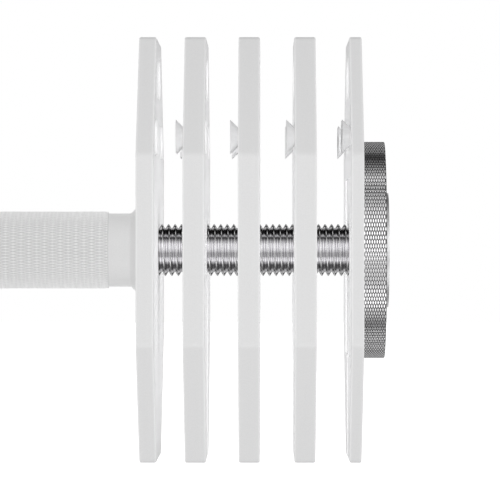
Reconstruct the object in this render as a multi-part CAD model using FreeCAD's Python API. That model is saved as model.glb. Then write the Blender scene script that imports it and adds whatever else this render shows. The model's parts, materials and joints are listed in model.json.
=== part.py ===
import FreeCAD, Part
import math
import os

# Adjustable dumbbell: a knurled grip between two octagonal head plates, a threaded stud
# out of each, three loose weight plates and an end plate hung on each stud, and a
# knurled nut that screws along the stud and clamps the stack.
# Millimetres. The origin is the middle of the grip. +X runs along the bar, +Z is up.
# The right head (+X) is modelled, and the left one is the same head turned half a turn about Z.

# Plates: an upright octagon with two lengths of side
plate_across = 160.0            # across the level and the upright flats
flat_length = 69.4              # length of each level and upright side
corner_round = 4.6              # corners of the octagon
rim_round = 0.7                 # edges between rim and faces
inner_plate_thick = 6.5
weight_plate_thick = 8.0
end_plate_thick = 4.6

# Stack along the bar
grip_space = 130.0              # clear length between the two inner plates
rest_gaps = [10.6, 12.2, 12.9, 12.7]    # inner plate to plate 1, and on to the end plate

# Bar slot and finger slot in the plates
bar_slot_clearance = 0.4        # round the stud, each side
slot_mouth_round = 2.0
finger_slot_length = 47.6       # end to end, along Y
finger_slot_height = 15.0
finger_slot_margin = 7.1        # metal left above the finger slot

# Dovetail keys on the inner faces, and their sockets in the outer faces
key_length = 34.5               # free end, along Y
key_height = 12.4               # free end, along Z
key_proud = 3.0                 # how far a key stands out; its flanks slope at 45 degrees
key_drop = 37.8                 # plate's top edge down to the keys' middles
key_rim_margin = 7.55           # key's outer end to the slanted rim, at the key's top edge
socket_clearance = 0.4
socket_extra_depth = 0.4

# Shallow panel milled in the end plate's inner face
panel_half_width = 38.7
panel_below_keys = 8.8
panel_above_edge = 39.7         # plate's bottom edge up to the panel
panel_depth = 0.4

# Screw thread of the stud and the nut: right-hand, standard coarse form
thread_diameter = 20.0
thread_pitch = 2.5
thread_flank_angle = 30.0       # from square to the bar, in degrees
thread_clearance = 0.2          # nut to stud, outwards and along the bar
ridge_sink = 0.15               # how deep a thread's ridge starts below its root
stud_end_chamfer = 1.2

# Stud root, inside the head
stud_flange_width = 5.0         # how far the flange stands out past the thread
stud_flange_thick = 3.0
stud_shank_diameter = 12.0
stud_shank_length = 28.0

# Grip
core_diameter = 20.0
grip_diameter = 29.5
collar_step = 0.7               # the collar's surface below the knurl's tips
collar_length = 12.8
flare_rise = 4.1                # the collar widens at 45 degrees against the plate
grip_end_chamfer = 0.3

# Dowel pins that stop each stud from turning in its head plate
dowel_diameter = 2.5
dowel_in_plate = 2.4

# Nut
nut_diameter = 82.9
nut_thick = 9.3
nut_chamfer = 0.6
nut_gap = 0.1                   # running gap between the nut and the end plate
boss_diameter = 43.7
boss_height = 1.5
bush_wall = 3.0                 # metal outside the nut's thread
stud_end_sunk = 1.0             # stud's end below the boss's face
friction_ring_inner = 54.0
friction_ring_outer = 66.0
friction_ring_thick = 2.0

# Countersunk screws of the keys and the nut
screw_diameter = 3.0
screw_head_diameter = 6.0
screw_hex_across = 2.0
screw_hex_depth = 1.0
screw_web = 1.3                 # metal left past the end of a key screw's hole
key_screw_spacing = 18.0
nut_screw_count = 3
nut_screw_grip = 5.0
hole_end_gap = 0.3              # left past a screw's or a pin's tip

close_fit = 0.05                # radial room between pieces that are fixed together

# Sizes that follow from the ones above
half_across = plate_across / 2
half_flat = flat_length / 2
socket_depth = key_proud + socket_extra_depth
key_level = half_across - key_drop
rim_at_keys = half_across + half_flat - (key_level + key_height / 2)
key_middle_y = rim_at_keys - key_rim_margin - key_length / 2
panel_top = key_level - key_height / 2 - panel_below_keys
panel_bottom = panel_above_edge - half_across
collar_radius = grip_diameter / 2 - collar_step
thread_radius = thread_diameter / 2
thread_depth = thread_pitch * math.sqrt(3) / 2 * 17 / 24
thread_root_radius = thread_radius - thread_depth
thread_crest = thread_pitch / 8
stud_flange_radius = thread_radius + stud_flange_width
bush_radius = thread_radius + thread_clearance + bush_wall
weight_plate_count = len(rest_gaps) - 1
weight_hole_depth = weight_plate_thick - socket_depth - screw_web
end_hole_depth = end_plate_thick - screw_web

# Places along the bar that follow from them
inner_plate_x = grip_space / 2
thread_start_x = inner_plate_x + inner_plate_thick
end_plate_x = (thread_start_x + sum(rest_gaps) + weight_plate_count * weight_plate_thick)
nut_x = end_plate_x + end_plate_thick + nut_gap
nut_face_x = nut_x + nut_thick
boss_x = nut_face_x + boss_height
stud_end_x = boss_x - stud_end_sunk

along_x = FreeCAD.Vector(1, 0, 0)
V = FreeCAD.Vector


def cylinder(radius, x_low, x_high, y=0.0, z=0.0):
    """A cylinder along the bar."""
    return Part.makeCylinder(radius, x_high - x_low, V(x_low, y, z), along_x)


def turned(profile):
    """A solid turned about the bar, from its half section as (x, radius) points."""
    points = [V(x, 0, radius) for x, radius in profile]
    face = Part.Face(Part.makePolygon(points + points[:1]))
    return face.revolve(V(0, 0, 0), along_x, 360)


def stadium_prism(length, height, x_low, x_high, y=0.0, z=0.0):
    """A prism along the bar whose section is a level bar with two round ends."""
    radius = height / 2
    reach = length / 2 - radius
    middle = Part.makeBox(x_high - x_low, 2 * reach, height, V(x_low, y - reach, z - radius))
    ends = [cylinder(radius, x_low, x_high, y + side * reach, z) for side in (-1, 1)]
    return middle.fuse(ends).removeSplitter()


def plate_edges(slot_half_width):
    """The plate's outline as edges; a slot half width above 0 opens the bar slot downwards."""
    half = half_across
    flat = half_flat
    corners = [(flat, -half), (half, -flat), (half, flat), (flat, half),
               (-flat, half), (-half, flat), (-half, -flat), (-flat, -half)]
    points = [V(0, y, z) for y, z in corners]
    edges = [Part.makeLine(a, b) for a, b in zip(points, points[1:])]
    if slot_half_width == 0:
        return edges + [Part.makeLine(points[-1], points[0])]
    near_mouth = V(0, -slot_half_width, -half)
    near_seat = V(0, -slot_half_width, 0)
    far_seat = V(0, slot_half_width, 0)
    far_mouth = V(0, slot_half_width, -half)
    seat = Part.Arc(near_seat, V(0, 0, slot_half_width), far_seat).toShape()
    return edges + [Part.makeLine(points[-1], near_mouth), Part.makeLine(near_mouth, near_seat),
                    seat, Part.makeLine(far_seat, far_mouth), Part.makeLine(far_mouth, points[0])]


def edges_along_bar(solid):
    """The solid's straight edges that run along the bar."""
    return [e for e in solid.Edges if abs(e.tangentAt(e.FirstParameter).x) > 0.99]


def edges_across_bar(solid):
    """The solid's edges that lie square to the bar, round its two faces."""
    return [e for e in solid.Edges if e.BoundBox.XLength < 1e-6]


def mouth_edges(solid, slot_half_width):
    """The two edges along the bar where the bar slot opens through the bottom."""
    return [e for e in edges_along_bar(solid) if abs(e.BoundBox.ZMin + half_across) < 1e-6
            and abs(abs(e.BoundBox.YMin) - slot_half_width) < 1e-3]


def octagon_edges(solid):
    """The eight corner edges along the bar: all those that aren't on the bar slot."""
    corner_y = [half_flat, half_across]
    return [e for e in edges_along_bar(solid)
            if min(abs(abs(e.BoundBox.YMin) - y) for y in corner_y) < 1e-3]


def plate_blank(x_low, thick, slot_half_width):
    """A plate with its finger slot, rounded corners and rounded rims, before other cuts."""
    blank = Part.Face(Part.Wire(plate_edges(slot_half_width))).extrude(V(thick, 0, 0))
    blank = blank.makeFillet(corner_round, octagon_edges(blank))
    if slot_half_width > 0:
        blank = blank.makeFillet(slot_mouth_round, mouth_edges(blank, slot_half_width))
    slot_z = half_across - finger_slot_margin - finger_slot_height / 2
    slot = stadium_prism(finger_slot_length, finger_slot_height, -1, thick + 1, 0, slot_z)
    blank = blank.cut(slot)
    blank = blank.makeFillet(rim_round, edges_across_bar(blank))
    blank.translate(V(x_low, 0, 0))
    return blank


def key_places():
    """The middle (y, z) of the front and the rear key."""
    return {"front": (-key_middle_y, key_level), "rear": (key_middle_y, key_level)}


def cut_sockets(plate, outer_x):
    """Sink the two sockets that take the next plate's keys into an outer face."""
    for y, z in key_places().values():
        plate = plate.cut(stadium_prism(key_length + 2 * socket_clearance,
                                        key_height + 2 * socket_clearance,
                                        outer_x - socket_depth, outer_x + 1, y, z))
    return plate


def key_screw_places(y, z):
    """The two screws of the key whose middle is (y, z)."""
    return [(y + side * key_screw_spacing / 2, z) for side in (-1, 1)]


def cut_screw_holes(plate, inner_x, depth):
    """Drill the key screws' holes into a plate's inner face."""
    radius = screw_diameter / 2 + close_fit
    for y, z in key_places().values():
        for hole_y, hole_z in key_screw_places(y, z):
            plate = plate.cut(cylinder(radius, inner_x - 1, inner_x + depth, hole_y, hole_z))
    return plate


def screw(head_x, y, z, length, direction):
    """A countersunk screw with a hexagon socket; direction is +1 or -1 along the bar."""
    head = screw_head_diameter / 2
    shank = screw_diameter / 2
    body = turned([(0, 0), (0, head), (head - shank, shank), (length, shank), (length, 0)])
    corner = screw_hex_across / math.sqrt(3)
    angles = [math.radians(60 * step) for step in range(7)]
    hexagon = Part.makePolygon([V(0, corner * math.cos(a), corner * math.sin(a)) for a in angles])
    body = body.cut(Part.Face(hexagon).extrude(V(screw_hex_depth, 0, 0)))
    if direction < 0:
        body.rotate(V(0, 0, 0), V(0, 0, 1), 180)
    body.translate(V(head_x, y, z))
    return body


def countersink(head_x, y, z, direction):
    """What a countersunk screw takes out of the piece it holds."""
    head = screw_head_diameter / 2
    shank = screw_diameter / 2 + close_fit
    length = screw_head_diameter + key_proud
    tool = turned([(0, 0), (0, head), (head - shank, shank), (length, shank), (length, 0)])
    if direction < 0:
        tool.rotate(V(0, 0, 0), V(0, 0, 1), 180)
    tool.translate(V(head_x, y, z))
    return tool


def dovetail_key(plate_x, y, z):
    """A key on an inner face: round-ended, widening at 45 degrees to its free end."""
    free = key_height / 2
    root = free - key_proud
    reach = key_length / 2 - free
    free_x = plate_x - key_proud
    section = [V(free_x, 0, -free), V(free_x, 0, free), V(plate_x, 0, root), V(plate_x, 0, -root)]
    middle = Part.Face(Part.makePolygon(section + section[:1])).extrude(V(0, 2 * reach, 0))
    middle.translate(V(0, -reach, 0))
    ends = [Part.makeCone(free, root, key_proud, V(free_x, side * reach, 0), along_x)
            for side in (-1, 1)]
    key = middle.fuse(ends).removeSplitter()
    key.translate(V(0, y, z))
    for screw_y, screw_z in key_screw_places(y, z):
        key = key.cut(countersink(free_x, screw_y, screw_z, 1))
    return key


def key_screws(plate_x, hole_depth):
    """The four screws that hold a plate's two keys."""
    free_x = plate_x - key_proud
    length = key_proud + hole_depth - hole_end_gap
    places = [spot for y, z in key_places().values() for spot in key_screw_places(y, z)]
    return Part.makeCompound([screw(free_x, y, z, length, 1) for y, z in places])


def thread_ridge(x_low, x_high, clearance):
    """One helical ridge along the bar, grown by a clearance outwards and along the bar.

    Its half width at radius r is crest / 2 + (thread radius - r) * tan(flank angle) + clearance.
    It starts a whole number of turns from the stud's first turn, so all ridges line up.
    """
    slope = math.tan(math.radians(thread_flank_angle))
    turns_before = math.floor((x_low - thread_start_x) / thread_pitch) - 1
    start = thread_start_x + turns_before * thread_pitch
    turns = math.ceil((x_high - start) / thread_pitch) + 1
    outer = thread_radius + clearance
    inner = thread_root_radius + clearance - ridge_sink
    half_outer = thread_crest / 2 + (thread_radius - outer) * slope + clearance
    half_inner = thread_crest / 2 + (thread_radius - inner) * slope + clearance
    section = [V(inner, 0, -half_inner), V(outer, 0, -half_outer),
               V(outer, 0, half_outer), V(inner, 0, half_inner)]
    profile = Part.makePolygon(section + section[:1])
    helix = Part.makeHelix(thread_pitch, turns * thread_pitch, thread_radius)
    ridge = Part.Wire(helix).makePipeShell([profile], True, True)
    ridge.rotate(V(0, 0, 0), V(0, 1, 0), 90)
    ridge.translate(V(start, 0, 0))
    return ridge


def stud():
    """Shank, flange and neck inside the head, and a right-hand thread out to the nut."""
    envelope = turned([(thread_start_x, 0), (thread_start_x, thread_radius + 1),
                       (stud_end_x - stud_end_chamfer - 1, thread_radius + 1),
                       (stud_end_x, thread_radius - stud_end_chamfer), (stud_end_x, 0)])
    thread = cylinder(thread_root_radius, thread_start_x, stud_end_x).fuse(
        thread_ridge(thread_start_x, stud_end_x, 0).common(envelope))
    thread = thread.common(envelope)
    flange_end = inner_plate_x + stud_flange_thick
    root = turned([(inner_plate_x - stud_shank_length, 0),
                   (inner_plate_x - stud_shank_length, stud_shank_diameter / 2),
                   (inner_plate_x, stud_shank_diameter / 2),
                   (inner_plate_x, stud_flange_radius), (flange_end, stud_flange_radius),
                   (flange_end, thread_radius), (thread_start_x, thread_radius),
                   (thread_start_x, 0)])
    for y, z in dowel_places():
        root = root.cut(cylinder(dowel_diameter / 2 + close_fit, inner_plate_x - 1,
                                 flange_end + 1, y, z))
    return root.fuse(thread).removeSplitter()


def dowel_places():
    """The two dowels stand in the middle of the flange's width, front and rear."""
    radius = (thread_radius + stud_flange_radius) / 2
    return [(-radius, 0), (radius, 0)]


def dowel_pins():
    """Two pins through the stud's flange into the head plate."""
    high = inner_plate_x + stud_flange_thick + dowel_in_plate
    return Part.makeCompound([cylinder(dowel_diameter / 2, inner_plate_x, high, y, z)
                              for y, z in dowel_places()])


def collar():
    """The smooth collar between grip and head plate, flared against the plate."""
    low = inner_plate_x - collar_length
    bore = core_diameter / 2 + close_fit
    return turned([(low, bore), (low, collar_radius), (inner_plate_x - flare_rise, collar_radius),
                   (inner_plate_x, collar_radius + flare_rise), (inner_plate_x, bore)])


def head_plate():
    """The fixed inner plate, bored and counterbored for the stud."""
    outer_x = thread_start_x
    plate = plate_blank(inner_plate_x, inner_plate_thick, 0)
    plate = plate.cut(cylinder(thread_radius + close_fit, inner_plate_x - 1, outer_x + 1))
    seat_x = inner_plate_x + stud_flange_thick
    plate = plate.cut(cylinder(stud_flange_radius + close_fit, inner_plate_x - 1, seat_x))
    for y, z in dowel_places():
        plate = plate.cut(cylinder(dowel_diameter / 2 + close_fit, inner_plate_x - 1,
                                   seat_x + dowel_in_plate + hole_end_gap, y, z))
    return cut_sockets(plate, outer_x)


def weight_plate(plate_x):
    """A loose weight plate with bar slot, finger slot, key sockets and screw holes."""
    plate = plate_blank(plate_x, weight_plate_thick, thread_radius + bar_slot_clearance)
    plate = cut_sockets(plate, plate_x + weight_plate_thick)
    return cut_screw_holes(plate, plate_x, weight_hole_depth)


def end_plate():
    """The thin outermost plate, with a shallow panel in its inner face."""
    plate = plate_blank(end_plate_x, end_plate_thick, thread_radius + bar_slot_clearance)
    panel = Part.makeBox(panel_depth + 1, 2 * panel_half_width, panel_top - panel_bottom,
                         V(end_plate_x - 1, -panel_half_width, panel_bottom))
    return cut_screw_holes(plate.cut(panel), end_plate_x, end_hole_depth)


def nut_screw_places():
    """Screws in a ring, midway between the bush and the boss's edge."""
    radius = (bush_radius + boss_diameter / 2) / 2
    angles = [math.radians(90 + 360 * step / nut_screw_count) for step in range(nut_screw_count)]
    return [(radius * math.cos(a), radius * math.sin(a)) for a in angles]


def nut_disc():
    """The hand nut: a thick disc with a chamfered rim and a groove for the friction ring."""
    outer = nut_diameter / 2
    bore = bush_radius + close_fit
    groove_in = friction_ring_inner / 2 - close_fit
    groove_out = friction_ring_outer / 2 + close_fit
    groove_x = nut_x + friction_ring_thick
    disc = turned([(nut_x, bore), (nut_x, groove_in), (groove_x, groove_in),
                   (groove_x, groove_out), (nut_x, groove_out), (nut_x, outer),
                   (nut_face_x - nut_chamfer, outer), (nut_face_x, outer - nut_chamfer),
                   (nut_face_x, bore)])
    for y, z in nut_screw_places():
        disc = disc.cut(cylinder(screw_diameter / 2 + close_fit,
                                 nut_face_x - nut_screw_grip - hole_end_gap,
                                 nut_face_x + 1, y, z))
    return disc


def nut_bush():
    """The threaded bush: a flange that makes the nut's boss, and the inside thread."""
    bore = thread_root_radius + thread_clearance
    lead_in = thread_radius + thread_clearance
    lead = lead_in - bore
    bush = turned([(nut_x, lead_in), (nut_x, bush_radius), (nut_face_x, bush_radius),
                   (nut_face_x, boss_diameter / 2), (boss_x, boss_diameter / 2),
                   (boss_x, lead_in), (boss_x - lead, bore), (nut_x + lead, bore)])
    bush = bush.cut(thread_ridge(nut_x, boss_x, thread_clearance))
    for y, z in nut_screw_places():
        bush = bush.cut(countersink(boss_x, y, z, -1))
    return bush


def nut_screws():
    """The screws that hold the bush's flange to the disc."""
    return Part.makeCompound([screw(boss_x, y, z, boss_height + nut_screw_grip, -1)
                              for y, z in nut_screw_places()])


def friction_ring():
    """The rubber ring that bears on the end plate and keeps the nut from working loose."""
    return turned([(nut_x, friction_ring_inner / 2),
                   (nut_x, friction_ring_outer / 2),
                   (nut_x + friction_ring_thick, friction_ring_outer / 2),
                   (nut_x + friction_ring_thick, friction_ring_inner / 2)])


def keyed(name, plate_x, hole_depth):
    """The front key, rear key and key screws of the plate at plate_x."""
    pieces = {f"{name}_key_{end}": dovetail_key(plate_x, y, z)
              for end, (y, z) in key_places().items()}
    pieces[f"{name}_key_screws"] = key_screws(plate_x, hole_depth)
    return pieces


def right_head():
    """Every piece of the right head, by name and without its side."""
    pieces = {"threaded_stud": stud(), "collar": collar(), "dowel_pins": dowel_pins(),
              "head_plate": head_plate()}
    plate_x = thread_start_x
    for number in range(1, weight_plate_count + 1):
        plate_x += rest_gaps[number - 1]
        pieces[f"weight_plate_{number}"] = weight_plate(plate_x)
        pieces.update(keyed(f"plate_{number}", plate_x, weight_hole_depth))
        plate_x += weight_plate_thick
    pieces["end_plate"] = end_plate()
    pieces.update(keyed("end_plate", end_plate_x, end_hole_depth))
    pieces["nut_disc"] = nut_disc()
    pieces["nut_bush"] = nut_bush()
    pieces["nut_screws"] = nut_screws()
    pieces["nut_friction_ring"] = friction_ring()
    return pieces


def handle_core():
    """The steel core, bored at both ends for the studs' shanks."""
    half = grip_space / 2
    core = cylinder(core_diameter / 2, -half, half)
    bore = stud_shank_diameter / 2 + close_fit
    deep = stud_shank_length + hole_end_gap
    for low, high in ((-half - 1, -half + deep), (half - deep, half + 1)):
        core = core.cut(cylinder(bore, low, high))
    return core


def grip_sleeve():
    """The knurled sleeve over the core, out to the two collars."""
    half = grip_space / 2 - collar_length
    bore = core_diameter / 2 + close_fit
    outer = grip_diameter / 2
    return turned([(-half, bore), (-half, outer - grip_end_chamfer),
                   (-half + grip_end_chamfer, outer), (half - grip_end_chamfer, outer),
                   (half, outer - grip_end_chamfer), (half, bore)])


def save(name, shape):
    """Write one node's solids to its own STEP file."""
    if not shape.isValid():
        raise ValueError(f"{name} is not a valid shape")
    shape.exportStep(f"parts/{name}.step")
    print(f"{name}: {len(shape.Solids)} solid(s), {shape.Volume / 1000:.2f} cm3")


os.makedirs("parts", exist_ok=True)
save("handle_core", handle_core())
save("grip_sleeve", grip_sleeve())
for name, shape in right_head().items():
    save(f"{name}_right", shape)
    shape.rotate(V(0, 0, 0), V(0, 0, 1), 180)
    save(f"{name}_left", shape)
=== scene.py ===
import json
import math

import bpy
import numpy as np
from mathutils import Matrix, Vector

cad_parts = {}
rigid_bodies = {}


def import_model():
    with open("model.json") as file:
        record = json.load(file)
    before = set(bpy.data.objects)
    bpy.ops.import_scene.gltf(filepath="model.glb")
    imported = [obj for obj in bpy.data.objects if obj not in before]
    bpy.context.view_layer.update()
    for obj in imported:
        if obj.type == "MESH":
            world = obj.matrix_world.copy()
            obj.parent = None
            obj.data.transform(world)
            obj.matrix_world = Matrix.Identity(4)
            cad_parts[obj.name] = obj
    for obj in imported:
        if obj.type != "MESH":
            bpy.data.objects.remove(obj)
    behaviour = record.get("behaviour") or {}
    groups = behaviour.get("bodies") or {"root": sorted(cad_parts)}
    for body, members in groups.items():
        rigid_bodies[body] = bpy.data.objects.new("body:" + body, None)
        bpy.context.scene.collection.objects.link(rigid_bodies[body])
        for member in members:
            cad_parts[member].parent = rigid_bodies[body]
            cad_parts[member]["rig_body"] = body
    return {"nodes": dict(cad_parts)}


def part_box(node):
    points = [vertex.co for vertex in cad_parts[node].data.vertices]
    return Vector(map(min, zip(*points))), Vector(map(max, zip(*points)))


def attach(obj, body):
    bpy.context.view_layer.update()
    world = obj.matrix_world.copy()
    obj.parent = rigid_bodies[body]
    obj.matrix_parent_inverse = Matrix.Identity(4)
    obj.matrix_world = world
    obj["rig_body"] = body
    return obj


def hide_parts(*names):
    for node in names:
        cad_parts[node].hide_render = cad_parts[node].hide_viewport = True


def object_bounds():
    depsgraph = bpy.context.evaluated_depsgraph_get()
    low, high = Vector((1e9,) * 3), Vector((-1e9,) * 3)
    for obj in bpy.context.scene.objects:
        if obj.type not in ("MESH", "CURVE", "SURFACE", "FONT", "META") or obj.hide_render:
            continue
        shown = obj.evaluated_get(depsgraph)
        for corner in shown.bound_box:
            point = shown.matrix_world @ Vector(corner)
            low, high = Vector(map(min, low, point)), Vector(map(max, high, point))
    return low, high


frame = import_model()
cad_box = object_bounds()

# %% [markdown]
# # An adjustable dumbbell: pale painted plates, bright screw thread, knurled nuts
#
# The engineering model has just been loaded. It holds every piece in its true place and size, and
# it knows which pieces move together. This lesson gives those pieces their looks. The pieces that
# are plain in the engineering model, such as the knurled grip, are worked out here again as fine
# surfaces, and every other piece keeps its shape and gets a real material.
#
# Lengths are in metres. X runs along the bar, Z is up, and the origin is the middle of the grip.

MM = 0.001
SIDES = ("right", "left")
scene = bpy.context.scene


def span(node):
    """Lowest and highest corner of a frame node, as two arrays in metres."""
    low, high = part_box(node)
    return np.array(low), np.array(high)


def turned_half_round(points, side):
    """The left head is the right head turned half a turn about Z: x and y change sign."""
    return points * np.array([-1.0, -1.0, 1.0]) if side == "left" else points


# %% [markdown]
# ## Paint, plating and rubber
#
# A finish is more than a colour. Powder paint sets in tiny pebbles, a plated screw is coloured
# darker in its roots than on its crests, as painted shade, and everything that is handled carries
# faint smears. Effects that several finishes share are built once, as node groups, and each
# material gives them its own numbers. The groups hand out only colours, roughness and heights. The
# shader itself stays in each material, where its fixed numbers are set directly.

# %% Helpers for node trees


def group_tree(name, inputs, outputs):
    """A new shader group with named sockets: the tree, its input node and its output node."""
    tree = bpy.data.node_groups.new(name, "ShaderNodeTree")
    for label, kind, value in inputs:
        socket = tree.interface.new_socket(label, in_out="INPUT", socket_type="NodeSocket" + kind)
        if value is not None:
            socket.default_value = value
    for label, kind in outputs:
        tree.interface.new_socket(label, in_out="OUTPUT", socket_type="NodeSocket" + kind)
    return tree, tree.nodes.new("NodeGroupInput"), tree.nodes.new("NodeGroupOutput")


def feed(tree, socket, value):
    """Join a socket to another node's output, or set it to a fixed value."""
    if isinstance(value, bpy.types.NodeSocket):
        tree.links.new(value, socket)
    else:
        socket.default_value = value


def calculate(tree, operation, *values):
    """One Math node; returns its output."""
    node = tree.nodes.new("ShaderNodeMath")
    node.operation = operation
    for socket, value in zip(node.inputs, values):
        feed(tree, socket, value)
    return node.outputs[0]


def noise(tree, vector, scale, detail=2.0, roughness=0.5):
    """Soft noise between 0 and 1 at a scale in cycles per metre."""
    node = tree.nodes.new("ShaderNodeTexNoise")
    feed(tree, node.inputs["Vector"], vector)
    feed(tree, node.inputs["Scale"], scale)
    feed(tree, node.inputs["Detail"], detail)
    feed(tree, node.inputs["Roughness"], roughness)
    return node.outputs["Fac"]


def blend_colour(tree, factor, first, second):
    """Mix two colours by a factor from 0 to 1."""
    node = tree.nodes.new("ShaderNodeMix")
    node.data_type = "RGBA"
    feed(tree, node.inputs["Factor"], factor)
    feed(tree, node.inputs["A"], first)
    feed(tree, node.inputs["B"], second)
    return node.outputs["Result"]


def stretch(tree, value, low, high, to_low, to_high):
    """Map a value from one range to another, held at the ends."""
    node = tree.nodes.new("ShaderNodeMapRange")
    for socket, number in zip(node.inputs, (value, low, high, to_low, to_high)):
        feed(tree, socket, number)
    return node.outputs["Result"]


# %% [markdown]
# ### The pebbled skin of powder paint
#
# Powder paint melts into a skin of shallow pebbles under a millimetre across, with finer specks of
# slightly lighter and darker pigment. Two noises of different size give the pebbles, a third and
# much broader one gives the faint smears that make one patch a little glossier than the next.

# %% Group: powder skin
SPECKS_PER_PEBBLE = 2.6
SPECK_HEIGHT = 0.35
SMEARS_PER_METRE = 28.0

POWDER, powder_in, powder_out = group_tree(
    "powder_skin",
    [("Vector", "Vector", None), ("Colour", "Color", (0.8, 0.8, 0.8, 1)), ("Speck", "Float", 0.03),
     ("Pebble scale", "Float", 900.0), ("Roughness", "Float", 0.4), ("Smear", "Float", 0.05)],
    [("Colour", "Color"), ("Roughness", "Float"), ("Height", "Float")])
pebbles = noise(POWDER, powder_in.outputs["Vector"], powder_in.outputs["Pebble scale"], 2.0)
speck_scale = calculate(POWDER, "MULTIPLY", powder_in.outputs["Pebble scale"],
                        SPECKS_PER_PEBBLE)
specks = noise(POWDER, powder_in.outputs["Vector"], speck_scale, 1.0)
smears = noise(POWDER, powder_in.outputs["Vector"], SMEARS_PER_METRE, 3.0)
signed_speck = calculate(POWDER, "SUBTRACT", specks, 0.5)
speck_gain = calculate(POWDER, "MULTIPLY_ADD", signed_speck, powder_in.outputs["Speck"], 1.0)
scaled = POWDER.nodes.new("ShaderNodeVectorMath")
scaled.operation = "SCALE"
feed(POWDER, scaled.inputs[0], powder_in.outputs["Colour"])
feed(POWDER, scaled.inputs["Scale"], speck_gain)
feed(POWDER, powder_out.inputs["Colour"], scaled.outputs[0])
signed_smear = calculate(POWDER, "SUBTRACT", smears, 0.5)
feed(POWDER, powder_out.inputs["Roughness"],
     calculate(POWDER, "MULTIPLY_ADD", signed_smear, powder_in.outputs["Smear"],
               powder_in.outputs["Roughness"]))
feed(POWDER, powder_out.inputs["Height"],
     calculate(POWDER, "MULTIPLY_ADD", specks, SPECK_HEIGHT, pebbles))
print("powder_skin:", len(POWDER.nodes), "nodes")

# %% [markdown]
# ### The marks of lathe and plating
#
# A piece that was turned on a lathe keeps fine rings round its axis: on a face they are circles, on
# a shaft they are lines across. Both come from noise stretched along one number, the distance along
# the bar plus the distance from it. Plating adds a faint haze, and dirt in the grooves makes them
# rougher, so the group also takes a groove mask, 0 on the tips and 1 at the bottom. The mask also
# darkens the colour in the grooves, which is painted shade.

# %% Group: turned and plated
HAZE_PER_METRE = 160.0
RING_SHARE, GROOVE_SHARE = 0.5, 0.5

TURNED, turned_in, turned_out = group_tree(
    "turned_marks",
    [("Vector", "Vector", None), ("Colour", "Color", (0.6, 0.6, 0.6, 1)),
     ("Groove colour", "Color", (0.2, 0.2, 0.2, 1)), ("Groove", "Float", 0.0),
     ("Ring scale", "Float", 2500.0), ("Roughness", "Float", 0.12), ("Haze", "Float", 0.06)],
    [("Colour", "Color"), ("Roughness", "Float"), ("Height", "Float")])
apart = TURNED.nodes.new("ShaderNodeSeparateXYZ")
feed(TURNED, apart.inputs[0], turned_in.outputs["Vector"])
across = calculate(TURNED, "SQRT", calculate(
    TURNED, "ADD", calculate(TURNED, "MULTIPLY", apart.outputs["Y"], apart.outputs["Y"]),
    calculate(TURNED, "MULTIPLY", apart.outputs["Z"], apart.outputs["Z"])))
rings_at = TURNED.nodes.new("ShaderNodeCombineXYZ")
feed(TURNED, rings_at.inputs["X"], calculate(TURNED, "ADD", apart.outputs["X"], across))
rings = noise(TURNED, rings_at.outputs[0], turned_in.outputs["Ring scale"], 2.0, 0.6)
haze = noise(TURNED, turned_in.outputs["Vector"], HAZE_PER_METRE, 3.0)
# Painted shade: the colour turns to the groove colour towards the bottom of the grooves
feed(TURNED, turned_out.inputs["Colour"],
     blend_colour(TURNED, turned_in.outputs["Groove"], turned_in.outputs["Colour"],
                  turned_in.outputs["Groove colour"]))
hazy_grooves = calculate(TURNED, "MULTIPLY_ADD", turned_in.outputs["Groove"], GROOVE_SHARE, haze)
mixed_marks = calculate(TURNED, "ADD", calculate(TURNED, "MULTIPLY", rings, RING_SHARE),
                        hazy_grooves)
feed(TURNED, turned_out.inputs["Roughness"],
     calculate(TURNED, "MULTIPLY_ADD", mixed_marks, turned_in.outputs["Haze"],
               turned_in.outputs["Roughness"]))
feed(TURNED, turned_out.inputs["Height"], rings)
print("turned_marks:", len(TURNED.nodes), "nodes")

# %% [markdown]
# ### The finishes
#
# Each finish is a Principled shader fed by one of the groups. Less light reaches the bottom of the
# knurl's grooves and dirt stays there, so the grip's colour is darker in them: painted shade, with
# some dirt. The numbers below are tuned to this studio's light: they are looks and not measured
# paints. The grip and the collars are rougher than the plates and have some sheen, so that their
# rounded tops and bottoms stay pale. The collars have no grooves to darken them, so their colour is
# made greyer, a painted shade which brings them to the knurl's tone. The keys are greyer as well,
# because the plates' paint comes out too pale on them in this light. The thread and the nut share
# the plated look, and the bush in the nut is a rough version of it, which shows one soft tone where
# a mirror would show bands.

# %% The finishes themselves


def start_material(name, metallic, specular=0.5):
    """A material with a plain Principled shader: material, tree, shader and coordinates."""
    material = bpy.data.materials.new(name)
    material.use_nodes = True
    tree = material.node_tree
    shader = tree.nodes["Principled BSDF"]
    shader.inputs["Metallic"].default_value = metallic
    shader.inputs["Specular IOR Level"].default_value = specular
    place = tree.nodes.new("ShaderNodeTexCoord").outputs["Object"]
    return material, tree, shader, place


def use_group(tree, group, shader, bump_distance, bump_strength, **values):
    """Place a group, give it its numbers, and lead its outputs to the shader."""
    node = tree.nodes.new("ShaderNodeGroup")
    node.node_tree = group
    for label, value in values.items():
        feed(tree, node.inputs[label.replace("_", " ")], value)
    feed(tree, shader.inputs["Base Color"], node.outputs["Colour"])
    feed(tree, shader.inputs["Roughness"], node.outputs["Roughness"])
    bump = tree.nodes.new("ShaderNodeBump")
    bump.inputs["Strength"].default_value = bump_strength
    bump.inputs["Distance"].default_value = bump_distance
    feed(tree, bump.inputs["Height"], node.outputs["Height"])
    feed(tree, shader.inputs["Normal"], bump.outputs["Normal"])
    return node


def groove_mask(tree):
    """The groove depth that the knurled and threaded pieces carry, 0 at the tips."""
    node = tree.nodes.new("ShaderNodeAttribute")
    node.attribute_name = "groove"
    return node.outputs["Fac"]


PAINT_SPECULAR = 0.3
COAT_ROUGHNESS = 0.35
PAINT_SPECK, PAINT_SMEAR = 0.09, 0.10
PEBBLE_DEPTH, PEBBLE_STRENGTH = 0.02 * MM, 0.35
RING_DEPTH = 0.01 * MM


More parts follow.
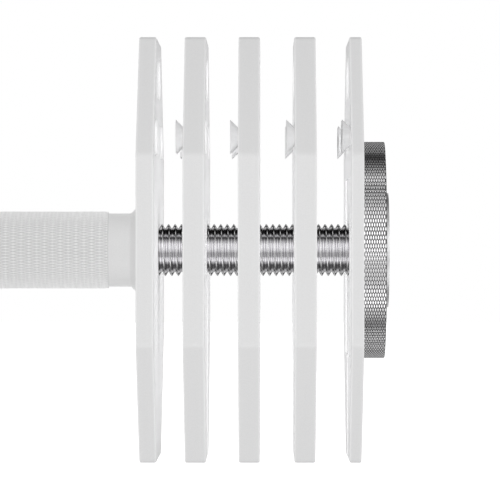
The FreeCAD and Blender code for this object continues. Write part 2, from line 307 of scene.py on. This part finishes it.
def painted(name, colour, groove_colour=None, roughness=0.42, coat=0.3, pebble_scale=900.0,
            sheen=0.0):
    """Pale powder paint; with a groove colour it is darker in the knurl's grooves, as painted shade
    with some dirt.

    The coat is the paint's level outer skin, which turns into a mirror at grazing angles.
    """
    material, tree, shader, place = start_material(name, 0.0, PAINT_SPECULAR)
    shader.inputs["Coat Weight"].default_value = coat
    shader.inputs["Coat Roughness"].default_value = COAT_ROUGHNESS
    shader.inputs["Sheen Weight"].default_value = sheen
    shade = (*colour, 1)
    # Painted shade, with some dirt: the groove colour darkens the knurl's grooves
    if groove_colour is not None:
        shade = blend_colour(tree, groove_mask(tree), shade, (*groove_colour, 1))
    use_group(tree, POWDER, shader, PEBBLE_DEPTH, PEBBLE_STRENGTH, Vector=place, Colour=shade,
              Speck=PAINT_SPECK, Pebble_scale=pebble_scale, Roughness=roughness, Smear=PAINT_SMEAR)
    return material


def plated(name, colour, groove_colour, roughness, haze, ring_scale, ring_strength):
    """Bright plating over turned steel, made dimmer in the grooves by painted shade."""
    material, tree, shader, place = start_material(name, 1.0)
    use_group(tree, TURNED, shader, RING_DEPTH, ring_strength, Vector=place,
              Colour=(*colour, 1), Groove_colour=(*groove_colour, 1), Groove=groove_mask(tree),
              Ring_scale=ring_scale, Roughness=roughness, Haze=haze)
    return material


PLATE_PAINT = painted("plate_paint", (0.92, 0.92, 0.922))
KEY_PAINT = painted("key_paint", (0.76, 0.76, 0.763), roughness=0.5, pebble_scale=1300.0)
# The grip's second colour is painted shade, with some dirt, at the bottom of the knurl's grooves
GRIP_PAINT = painted("grip_paint", (0.915, 0.915, 0.915), (0.635, 0.635, 0.635), roughness=0.6,
                     coat=0.15, sheen=0.3)
# The collars' greyer colour is painted shade: a darker copy of the pale paint, brought to the
# knurl's tone
COLLAR_PAINT_SHADED = painted("collar_paint_shaded", (0.80, 0.80, 0.80), roughness=0.6, coat=0.05, sheen=0.8)
# The second colour of the thread and of the nut is painted shade in their grooves
THREAD_CHROME = plated("thread_chrome", (0.97, 0.965, 0.975), (0.62, 0.614, 0.63),
                       roughness=0.02, haze=0.04, ring_scale=4000.0, ring_strength=0.05)
NUT_CHROME = plated("nut_chrome", (0.88, 0.878, 0.885), (0.40, 0.398, 0.403),
                    roughness=0.05, haze=0.05, ring_scale=3000.0, ring_strength=0.08)
BUSH_CHROME = plated("bush_chrome", (0.98, 0.978, 0.985), (0.40, 0.398, 0.403),
                     roughness=0.40, haze=0.10, ring_scale=3000.0, ring_strength=0.08)
PLAIN_STEEL = plated("plain_steel", (0.84, 0.835, 0.83), (0.3, 0.3, 0.3),
                     roughness=0.42, haze=0.16, ring_scale=2500.0, ring_strength=0.3)

RUBBER_PEBBLE_DEPTH, RUBBER_PEBBLE_STRENGTH = 0.04 * MM, 0.5
RING_RUBBER, rubber_tree, rubber_shader, rubber_place = start_material(
    "ring_rubber", 0.0, PAINT_SPECULAR)
use_group(rubber_tree, POWDER, rubber_shader, RUBBER_PEBBLE_DEPTH, RUBBER_PEBBLE_STRENGTH,
          Vector=rubber_place, Colour=(0.03, 0.03, 0.031, 1), Speck=0.3, Pebble_scale=1500.0,
          Roughness=0.7, Smear=0.2)
print("finishes:", ", ".join(m.name for m in bpy.data.materials))

# %% [markdown]
# ## Surfaces worked out on a grid
#
# A turned piece is a profile carried round the bar. If every point of the profile may also move in
# and out with the angle, the same grid makes a knurl or a screw thread. So one function turns an
# array of positions along the bar, and an array of radii for every position and angle, into a
# closed mesh. The splits of its four-sided cells can alternate, which lets the diagonal grooves of
# a knurl run exactly along edges.

# %% From a grid of radii to a mesh


def ring_points(x, radius):
    """Points of rings round the bar: (x, r sin a, -r cos a), with angle a from straight down.

    x has one value a ring, and radius one value for each ring and angle.
    """
    angle = np.linspace(0, 2 * np.pi, radius.shape[1], endpoint=False)
    along = np.broadcast_to(x[:, None], radius.shape)
    return np.stack([along, radius * np.sin(angle), -radius * np.cos(angle)], axis=-1)


def cell_triangles(rings, steps, closed, split):
    """Two triangles for each cell between ring j and j + 1 and between angle i and i + 1.

    split is "down" for one direction of diagonal everywhere, or "alternate" for a chequered one.
    """
    j, i = np.meshgrid(np.arange(rings if closed else rings - 1), np.arange(steps), indexing="ij")
    a = j * steps + i
    b = j * steps + (i + 1) % steps
    c = (j + 1) % rings * steps + (i + 1) % steps
    d = (j + 1) % rings * steps + i
    along_ac = np.ones_like(a, bool) if split == "down" else (i + j) % 2 == 0
    first = np.where(along_ac[..., None], np.stack([a, b, c], -1), np.stack([a, b, d], -1))
    second = np.where(along_ac[..., None], np.stack([a, c, d], -1), np.stack([b, c, d], -1))
    return np.concatenate([first.reshape(-1, 3), second.reshape(-1, 3)])


def outward(points, triangles):
    """Turn the triangles round if the closed surface's signed volume, a third of the sum of
    a . (b x c) / 2 over its triangles, is below nought."""
    a, b, c = points[triangles[:, 0]], points[triangles[:, 1]], points[triangles[:, 2]]
    volume = np.einsum("ij,ij->i", a, np.cross(b, c)).sum()
    return triangles if volume > 0 else triangles[:, ::-1]


def make_piece(name, points, triangles, material, groove=None, smooth=None):
    """A mesh object at the origin. An edge bent by more than smooth degrees stays sharp."""
    mesh = bpy.data.meshes.new(name)
    mesh.from_pydata(points.astype(float), [], outward(points, triangles).tolist())
    if groove is not None:
        mesh.attributes.new("groove", "FLOAT", "POINT").data.foreach_set(
            "value", groove.astype(np.float32).ravel())
    mesh.materials.append(material)
    mesh.polygons.foreach_set("use_smooth", np.full(len(mesh.polygons), smooth is not None))
    if smooth is not None:
        mesh.set_sharp_from_angle(angle=math.radians(smooth))
    mesh.update()
    piece = bpy.data.objects.new(name, mesh)
    scene.collection.objects.link(piece)
    return piece


def fit_to_frame(piece, node):
    """The piece takes a node's place and rides on its body."""
    body = frame["nodes"][node]["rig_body"]
    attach(piece, body)
    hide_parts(node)
    return piece


# %% [markdown]
# ## The knurl
#
# A knurl is two families of grooves that spiral opposite ways round the piece. With u and v the
# counts of grooves crossed along each family, u = N a / 2 pi + x / p and v = N a / 2 pi - x / p.
# The height is the lower of two ramps, one for each family, so it is nought on every groove and
# rises to a small pyramid between them. A real knurl's tips are pressed flat, so the ramps are cut
# off one grid step away from each groove. That puts every groove and every flat exactly on the
# grid. Four steps from groove to groove leave small tips, for a grip that bites, and six leave
# broad ones.

# %% Heights of a knurl


def knurl_height(diamonds, columns, steps):
    """Height from 0 in a groove to 1 on a flat tip, for each ring and angle of the grid.

    The ramp of a family t is 1 - |2 frac(t) - 1|. The height is the lower ramp times half the
    steps, at most 1.
    """
    i = np.arange(diamonds * steps)[None, :]
    j = np.arange(columns * steps // 2 + 1)[:, None]
    ramps = [1 - np.abs(2 * ((i + sign * j) / steps % 1) - 1) for sign in (1, -1)]
    return np.minimum(steps / 2 * np.minimum(*ramps), 1)


FIT = 0.05 * MM
GRIP_DIAMONDS = 80
GRIP_COLUMNS = 35
GRIP_STEPS = 4
GRIP_GROOVE = 0.35 * MM
GRIP_END_BEVEL = 0.15 * MM

grip_low, grip_high = span("grip_sleeve")
core_radius = span("handle_core")[1][2]
grip_height = knurl_height(GRIP_DIAMONDS, GRIP_COLUMNS, GRIP_STEPS)
grip_rings, grip_steps = grip_height.shape
grip_x = np.linspace(grip_low[0], grip_high[0], grip_rings)
grip_radius = grip_high[2] - GRIP_GROOVE * (1 - grip_height)
grip_radius[[0, -1]] -= GRIP_END_BEVEL
bore = np.full((2, grip_steps), core_radius + FIT)
grip_points = ring_points(np.concatenate([grip_x, grip_x[[-1, 0]]]),
                          np.concatenate([grip_radius, bore]))
grip_groove = np.concatenate([1 - grip_height, np.zeros_like(bore)])
grip = make_piece("knurled_grip", grip_points.reshape(-1, 3),
                  cell_triangles(grip_rings + 2, grip_steps, True, "alternate"),
                  GRIP_PAINT, grip_groove)
fit_to_frame(grip, "grip_sleeve")
print("knurled grip:", len(grip.data.polygons), "triangles")

# %% [markdown]
# ## The smooth collars
#
# Between the knurl and the head plate the handle is turned smooth and then flares at 45 degrees.
# The corners of a turned part are never perfectly sharp, so the profile has a small round wherever
# two straight stretches meet. Each round is drawn as a curve pulled towards the corner.

# %% Collars


def rounded(points, radius, steps=5, share=0.4):
    """A closed profile with each corner p replaced by the curve (1-t)^2 a + 2t(1-t) p + t^2 b,
    where a and b lie on the two sides, at most a radius and a share of the side from the corner."""
    points = np.array(points, float)
    before, after = np.roll(points, 1, axis=0), np.roll(points, -1, axis=0)
    t = np.linspace(0, 1, steps)[None, :, None]

    def near(other):
        away = other - points
        length = np.linalg.norm(away, axis=1, keepdims=True)
        return points + away / length * np.minimum(radius, share * length)

    a, b, p = near(before)[:, None], near(after)[:, None], points[:, None]
    return ((1 - t) ** 2 * a + 2 * t * (1 - t) * p + t ** 2 * b).reshape(-1, 2)


COLLAR_STEPS = 128
COLLAR_RADIUS = 14.05 * MM
COLLAR_ROUND = 0.5 * MM
COLLAR_SMOOTH = 35
collar_low, collar_high = span("collar_right")
flare = collar_high[2] - COLLAR_RADIUS
collar_profile = rounded(
    [(collar_low[0], core_radius + FIT), (collar_low[0], COLLAR_RADIUS),
     (collar_high[0] - flare, COLLAR_RADIUS), (collar_high[0], collar_high[2]),
     (collar_high[0], core_radius + FIT)], COLLAR_ROUND)
collar_radii = np.repeat(collar_profile[:, 1:], COLLAR_STEPS, axis=1)
collar_points = ring_points(collar_profile[:, 0], collar_radii).reshape(-1, 3)
collar_cells = cell_triangles(len(collar_profile), COLLAR_STEPS, True, "down")
for side in SIDES:
    collar = make_piece(f"turned_collar_{side}", turned_half_round(collar_points, side),
                        collar_cells, COLLAR_PAINT_SHADED, np.zeros(len(collar_points)), COLLAR_SMOOTH)
    fit_to_frame(collar, f"collar_{side}")
print("collars:", len(collar.data.polygons), "triangles each")

# %% [markdown]
# ## The screw thread
#
# A thread is a profile that moves one pitch along the bar for each turn. With the phase
# f = (x - x0) / pitch - a / 2 pi, every point with a whole-number phase lies on the crest. The
# radius falls from the crest flat down straight flanks, 30 degrees from square to the bar, to a
# flat root. The grid has as many rings in a pitch as steps in a turn, so crests and roots follow
# the diagonals of its cells and the screw stays crisp.

# %% Threaded studs
PITCH = 2.5 * MM
TURN_STEPS = 40
FLANK = math.tan(math.radians(30))
CREST_HALF = PITCH / 16
THREAD_DEPTH = PITCH * math.sqrt(3) / 2 * 17 / 24
EDGE_ROUNDING = 0.03
THREAD_SMOOTH = 75
END_CHAMFER = 1.2 * MM
FLANGE_THICK = 3.0 * MM
SHANK_RADIUS = 6.0 * MM

stud_low, stud_high = span("threaded_stud_right")
plate_low, plate_high = span("head_plate_right")
thread_radius = core_radius
thread_x = np.arange(plate_high[0], stud_high[0], PITCH / TURN_STEPS)
thread_x = np.append(thread_x, stud_high[0])
turn = np.arange(TURN_STEPS) / TURN_STEPS
phase = (thread_x[:, None] - plate_high[0]) / PITCH - turn[None, :]


def thread_sunk(phase):
    """Depth below the crest: flat, then a straight flank, then a flat root."""
    from_crest = np.abs(phase - np.round(phase)) * PITCH
    return np.clip((from_crest - CREST_HALF) / FLANK, 0, THREAD_DEPTH)


# A rolled thread has slightly round edges: the mean of a few copies shifted along the bar
shifts = np.linspace(-EDGE_ROUNDING, EDGE_ROUNDING, 5)
sunk = np.mean([thread_sunk(phase + shift) for shift in shifts], axis=0)
end_cone = thread_radius - END_CHAMFER + (stud_high[0] - thread_x)
thread_radii = np.minimum(thread_radius - sunk, end_cone[:, None])
root_profile = [(stud_low[0], SHANK_RADIUS), (plate_low[0], SHANK_RADIUS),
                (plate_low[0], stud_high[2]), (plate_low[0] + FLANGE_THICK, stud_high[2]),
                (plate_low[0] + FLANGE_THICK, thread_radius)]
root_x, root_radii = np.array(root_profile).T
stud_x = np.concatenate([root_x, thread_x])
stud_radii = np.concatenate([np.repeat(root_radii[:, None], TURN_STEPS, axis=1), thread_radii])
stud_groove = np.concatenate([np.zeros((len(root_x), TURN_STEPS)), sunk / THREAD_DEPTH])


def with_poles(points, cells, rings, steps):
    """Close an open tube of rings with one middle point at each end."""
    flat = points.reshape(-1, 3)
    middles = points[[0, -1]].mean(axis=1)
    i = np.arange(steps)
    first, last = len(flat), len(flat) + 1
    start = np.stack([np.full(steps, first), (i + 1) % steps, i], -1)
    rim = (rings - 1) * steps
    end = np.stack([np.full(steps, last), rim + i, rim + (i + 1) % steps], -1)
    return np.concatenate([flat, middles]), np.concatenate([cells, start, end])


stud_points, stud_cells = with_poles(
    ring_points(stud_x, stud_radii),
    cell_triangles(len(stud_x), TURN_STEPS, False, "down"), len(stud_x), TURN_STEPS)
stud_groove = np.append(stud_groove.ravel(), [0.0, 0.0])
for side in SIDES:
    stud = make_piece(f"screw_stud_{side}", turned_half_round(stud_points, side), stud_cells,
                      THREAD_CHROME, stud_groove, THREAD_SMOOTH)
    fit_to_frame(stud, f"threaded_stud_{side}")
print("screw studs:", len(stud.data.polygons), "triangles each")

# %% [markdown]
# ## The knurled nut
#
# The nut's disc is one closed profile: inner face with its groove for the rubber ring, knurled rim,
# outer face and bore. The rim is pressed with narrow upright diamonds, and its corners were turned
# away before knurling, so the diamonds run out into a bevel: the radius there is the lower of the
# knurl and the bevel.

# %% Nut discs
NUT_DIAMONDS = 82
NUT_COLUMNS = 20
NUT_STEPS = 6
NUT_GROOVE = 0.25 * MM
NUT_OUTER_BEVEL = 0.2 * MM
NUT_INNER_BEVEL = 0.3 * MM

disc_low, disc_high = span("nut_disc_right")
ring_high = span("nut_friction_ring_right")[1]
BUSH_RADIUS = 13.2 * MM
RING_INNER_RADIUS = 27.0 * MM
rim_height = knurl_height(NUT_DIAMONDS, NUT_COLUMNS, NUT_STEPS)
rim_rings, rim_steps = rim_height.shape
rim_x = np.linspace(disc_low[0], disc_high[0], rim_rings)
rim_limit = np.minimum(disc_high[2] - np.clip(NUT_OUTER_BEVEL - (disc_high[0] - rim_x), 0, None),
                       disc_high[2] - np.clip(NUT_INNER_BEVEL - (rim_x - disc_low[0]), 0, None))
rim_radii = np.minimum(disc_high[2] - NUT_GROOVE * (1 - rim_height), rim_limit[:, None])
inner_profile = [(disc_high[0], BUSH_RADIUS + FIT), (disc_low[0], BUSH_RADIUS + FIT),
                 (disc_low[0], RING_INNER_RADIUS - FIT), (ring_high[0], RING_INNER_RADIUS - FIT),
                 (ring_high[0], ring_high[2] + FIT), (disc_low[0], ring_high[2] + FIT)]
inner_x, inner_radii = np.array(inner_profile).T
disc_points = ring_points(np.concatenate([rim_x, inner_x]), np.concatenate(
    [rim_radii, np.repeat(inner_radii[:, None], rim_steps, axis=1)])).reshape(-1, 3)
rim_groove = 1 - rim_height
# The flat faces share the rim's end rings, which carry no groove, or it would streak the faces
rim_groove[[0, -1]] = 0
disc_groove = np.concatenate([rim_groove, np.zeros((len(inner_x), rim_steps))])
disc_cells = cell_triangles(rim_rings + len(inner_x), rim_steps, True, "alternate")
for side in SIDES:
    disc = make_piece(f"knurled_nut_{side}", turned_half_round(disc_points, side), disc_cells,
                      NUT_CHROME, disc_groove)
    fit_to_frame(disc, f"nut_disc_{side}")
print("knurled nuts:", len(disc.data.polygons), "triangles each")

# %% [markdown]
# ## Plates, keys and bushes keep their engineered shape
#
# These pieces already have the right shape: every slot, socket and rounded rim is in them. But an
# engineering mesh is loose triangles, and light breaks at each of them. A copy whose corners are
# joined can be shaded smoothly, with only the true edges left sharp, and it stands in for the
# original in the same shape and place.

# %% Smooth copies of the engineered pieces
JOIN_WITHIN = 0.0005 * MM


def smooth_copy(node, material, sharp_above=28):
    """A copy of a frame node with joined corners and smooth shading.

    Corners whose coordinates round to the same whole number of JOIN_WITHIN become one.
    """
    mesh = frame["nodes"][node].data
    count, faces = len(mesh.vertices), len(mesh.polygons)
    points = np.empty(count * 3)
    mesh.vertices.foreach_get("co", points)
    corners = np.empty(faces * 3, int)
    mesh.polygons.foreach_get("vertices", corners)
    snapped = np.round(points.reshape(-1, 3) / JOIN_WITHIN).astype(np.int64)
    _, kept, joined = np.unique(snapped, axis=0, return_index=True, return_inverse=True)
    triangles = joined.ravel()[corners.reshape(-1, 3)]
    whole = ((triangles[:, 0] != triangles[:, 1]) & (triangles[:, 1] != triangles[:, 2])
             & (triangles[:, 2] != triangles[:, 0]))
    piece = make_piece(f"{node}_finish", points.reshape(-1, 3)[kept], triangles[whole], material,
                       smooth=sharp_above)
    return fit_to_frame(piece, node)


finished = []
for side in SIDES:
    finished.append(smooth_copy(f"head_plate_{side}", PLATE_PAINT))
    finished.append(smooth_copy(f"end_plate_{side}", PLATE_PAINT))
    finished.append(smooth_copy(f"nut_bush_{side}", BUSH_CHROME))
    finished.append(smooth_copy(f"nut_friction_ring_{side}", RING_RUBBER))
    for number in (1, 2, 3):
        finished.append(smooth_copy(f"weight_plate_{number}_{side}", PLATE_PAINT))
    for owner in ("plate_1", "plate_2", "plate_3", "end_plate"):
        for end in ("front", "rear"):
            finished.append(smooth_copy(f"{owner}_key_{end}_{side}", KEY_PAINT))
# A liberty: real plates and keys would show in the bright metal. Here they are hidden from mirror
# rays, which keeps the dark bands on the thread dark
for piece in finished:
    if "plate" in piece.name:
        piece.visible_glossy = False
print(len(finished), "smooth copies,", sum(len(p.data.polygons) for p in finished), "triangles")

# %% [markdown]
# ## The hidden steel
#
# The core, the dowels and the screws stay as they are. They are plain bright steel.

# %% Steel on the remaining pieces
steel_names = [n for n in frame["nodes"]
               if "screws" in n or n.startswith("dowel_pins") or n == "handle_core"]
for name in steel_names:
    materials = frame["nodes"][name].data.materials
    materials.clear()
    materials.append(PLAIN_STEEL)
print(len(steel_names), "steel pieces")

# %% [markdown]
# ## Light
#
# The dumbbell stands in a bright white studio: matt surfaces gather an even light. A mirror shows
# what the studio is made of, so bright metal needs something to show: long soft boxes that run
# beside the bar, with dark gaps between them. A real studio would light both kinds of surface with
# the same boxes. Here the world gives each kind of ray its own light, so that the one can be tuned
# without the other. For a mirror it looks at which way a ray goes round the bar and picks a
# brightness from a strip. The strip is fitted and describes no real boxes. Its stops stand at the
# angles where the tones wanted on the nut's rim and the thread turn, and its levels were moved step
# by step, by the ratio of the wanted tone to the one measured in a render. The boxes have ends, so
# the light fades for rays that lean far along the bar, which keeps the grooves of the thread and of
# the knurl dark, and it comes back for rays that lean further.

# %% The studio world
MATT_LIGHT = 0.50
FLOOR_BOUNCE = 0.03
BRIGHTEST = 1.5
GAIN = 2.0
# How far a ray leans along the bar (0 across it, 1 along it), from and to, and the light there
FRONT_BOX_END = (0.25, 0.50, 1.0, 0.1)
REAR_BOX_END = (0.12, 0.35, 1.0, 0.03)
REAR_CORNER_BOX = (0.36, 0.50, 0.0, 0.6)
END_BOX = (0.82, 0.92, 0.0, 1.0)
FRONT_MEETS_REAR = 0.1
# Going round the bar from straight behind (-180 degrees), through straight down (-90), the front
# (0) and straight up (90), to straight behind again
STRIP = [(-180, 0.30), (-146, 0.50), (-128, 0.55), (-112, 0.14), (-84, 0.17), (-70, 0.65),
         (-58, 1.35), (-47, 1.20), (-34, 0.58), (-16, 0.56), (-6, 0.90), (4, 1.12), (14, 1.30),
         (30, 1.25), (42, 0.88), (54, 0.43), (66, 0.075), (73, 0.14), (79, 0.58), (88, 0.58),
         (96, 0.08), (104, 0.012), (132, 0.015), (150, 0.50), (168, 0.35), (180, 0.30)]

world = bpy.data.worlds.new("white_studio")
scene.world = world
world.use_nodes = True
world.cycles.sampling_method = "NONE"
tree = world.node_tree
way = tree.nodes.new("ShaderNodeTexCoord").outputs["Generated"]
split_way = tree.nodes.new("ShaderNodeSeparateXYZ")
feed(tree, split_way.inputs[0], way)
toward_front = calculate(tree, "MULTIPLY", split_way.outputs["Y"], -1.0)
round_bar = calculate(tree, "ARCTAN2", split_way.outputs["Z"], toward_front)
strip_place = stretch(tree, round_bar, -math.pi, math.pi, 0.0, 1.0)
strip = tree.nodes.new("ShaderNodeValToRGB")
feed(tree, strip.inputs[0], strip_place)
strip.color_ramp.interpolation = "EASE"
for index, (degrees, light) in enumerate(STRIP):
    place = (degrees + 180) / 360
    ramp = strip.color_ramp.elements
    stop = ramp[index] if index < 2 else ramp.new(place)
    stop.position = place
    stop.color = (*[light / BRIGHTEST] * 3, 1)
soft = calculate(tree, "MULTIPLY_ADD", split_way.outputs["Z"], -FLOOR_BOUNCE, MATT_LIGHT)
sideways = calculate(tree, "ABSOLUTE", split_way.outputs["X"])
in_front = stretch(tree, toward_front, -FRONT_MEETS_REAR, FRONT_MEETS_REAR, 0.0, 1.0)
behind = stretch(tree, toward_front, -FRONT_MEETS_REAR, FRONT_MEETS_REAR, 1.0, 0.0)
front_light = calculate(tree, "MINIMUM", in_front, stretch(tree, sideways, *FRONT_BOX_END))
rear_light = calculate(tree, "MINIMUM", behind, calculate(
    tree, "MAXIMUM", stretch(tree, sideways, *REAR_BOX_END),
    stretch(tree, sideways, *REAR_CORNER_BOX)))
box_light = calculate(tree, "MAXIMUM", calculate(tree, "MAXIMUM", front_light, rear_light),
                      stretch(tree, sideways, *END_BOX))
strip_light = calculate(tree, "MULTIPLY", strip.outputs["Color"], GAIN)
mirror = calculate(tree, "MULTIPLY", strip_light, box_light)
paths = tree.nodes.new("ShaderNodeLightPath")
gloss = calculate(tree, "MULTIPLY", paths.outputs["Is Glossy Ray"], mirror)
matt = calculate(tree, "MULTIPLY", paths.outputs["Is Diffuse Ray"], soft)
total = calculate(tree, "ADD", calculate(tree, "ADD", gloss, matt), paths.outputs["Is Camera Ray"])
feed(tree, tree.nodes["Background"].inputs["Strength"], total)
tree.nodes["Background"].inputs["Color"].default_value = (1, 1, 1, 1)
print("studio strip:", len(STRIP), "stops")

# %% [markdown]
# ### Lamps that fill the gaps
#
# Six sun lamps without shadows, one from each side of a box, stand for the light that white walls
# throw back. Real walls would leave soft shadows in the gaps between the plates, and these
# lamps leave none. The two at the ends shine along the bar, onto the plates' faces. They are linked
# to the plates alone, because nothing else should get brighter with them. No mirror shows a lamp.

# %% Fill lamps
LIGHT_BOUNCES = 12
MOST_BOUNCES = 16
FILL = {"front": (0.29, (90, 0, 0)), "back": (0.29, (-90, 0, 0)), "above": (0.07, (0, 0, 0)),
        "below": (0.07, (180, 0, 0)), "right": (0.235, (0, 90, 0)), "left": (0.235, (0, -90, 0))}
plates_only = bpy.data.collections.new("plates_only")
for piece in finished:
    if "plate" in piece.name and "key" not in piece.name:
        plates_only.objects.link(piece)
for name, (strength, turn_degrees) in FILL.items():
    lamp_data = bpy.data.lights.new(f"fill_{name}", "SUN")
    lamp_data.energy = strength * math.pi
    lamp_data.use_shadow = False
    lamp = bpy.data.objects.new(f"fill_{name}", lamp_data)
    lamp.rotation_euler = [math.radians(angle) for angle in turn_degrees]
    lamp.visible_glossy = False
    if name in ("right", "left"):
        lamp.light_linking.receiver_collection = plates_only
    scene.collection.objects.link(lamp)
scene.cycles.diffuse_bounces = LIGHT_BOUNCES
scene.cycles.glossy_bounces = LIGHT_BOUNCES
scene.cycles.max_bounces = MOST_BOUNCES
print("fill lamps:", len(FILL))

# %% [markdown]
# ## The floor
#
# The floor is a plain white sheet under the plates' flats. It is lit from within, like a light
# table, so that its soft shadows almost wash out. It is hidden from mirrors and matt surfaces, and
# casts no shadow, so the world's light reaches them from below as well.

# %% White floor
FLOOR_SIZE = 6.0
FLOOR_GLOW = 0.8
floor_z = cad_box[0][2]
half = FLOOR_SIZE / 2
floor_mesh = bpy.data.meshes.new("floor")
floor_mesh.from_pydata([(-half, -half, floor_z), (half, -half, floor_z), (half, half, floor_z),
                        (-half, half, floor_z)], [], [(0, 1, 2, 3)])
floor = bpy.data.objects.new("floor", floor_mesh)
scene.collection.objects.link(floor)
floor_material, _, floor_shader, _ = start_material("white_table", 0.0, 0.0)
floor_shader.inputs["Base Color"].default_value = (0.9, 0.9, 0.9, 1)
floor_shader.inputs["Roughness"].default_value = 1.0
floor_shader.inputs["Emission Color"].default_value = (1, 1, 1, 1)
floor_shader.inputs["Emission Strength"].default_value = FLOOR_GLOW
floor_mesh.materials.append(floor_material)
floor.visible_diffuse = False
floor.visible_glossy = False
floor.visible_shadow = False
print("floor at", round(floor_z, 4))

# %% [markdown]
# ## The camera
#
# A long lens from straight in front, level with the bar, looks at the right head and half the
# grip. It stands opposite the stack, so the plates to its left show their outer faces and the ones
# to its right their inner faces. A turn of a fifth of a degree sets the middle of the picture.

# %% Camera
VIEW_DISTANCE = 1.603
LENS = 300.8
CAMERA_X = 0.1126
AIM_X = 0.10646
camera_data = bpy.data.cameras.new("long_lens")
camera_data.sensor_width = 36.0
camera_data.lens = LENS
camera_data.clip_end = 50.0
camera = bpy.data.objects.new("camera", camera_data)
camera.location = (CAMERA_X, -VIEW_DISTANCE, 0.0)
yaw = math.atan2(CAMERA_X - AIM_X, VIEW_DISTANCE)
camera.rotation_euler = (math.pi / 2, 0.0, yaw)
scene.collection.objects.link(camera)
scene.camera = camera
scene.view_settings.view_transform = "Standard"
scene.view_settings.look = "None"
print("camera yaw", round(math.degrees(yaw), 3), "degrees")

# %% Sizes, and the end
print("engineered box", [round(v, 4) for p in cad_box for v in p])
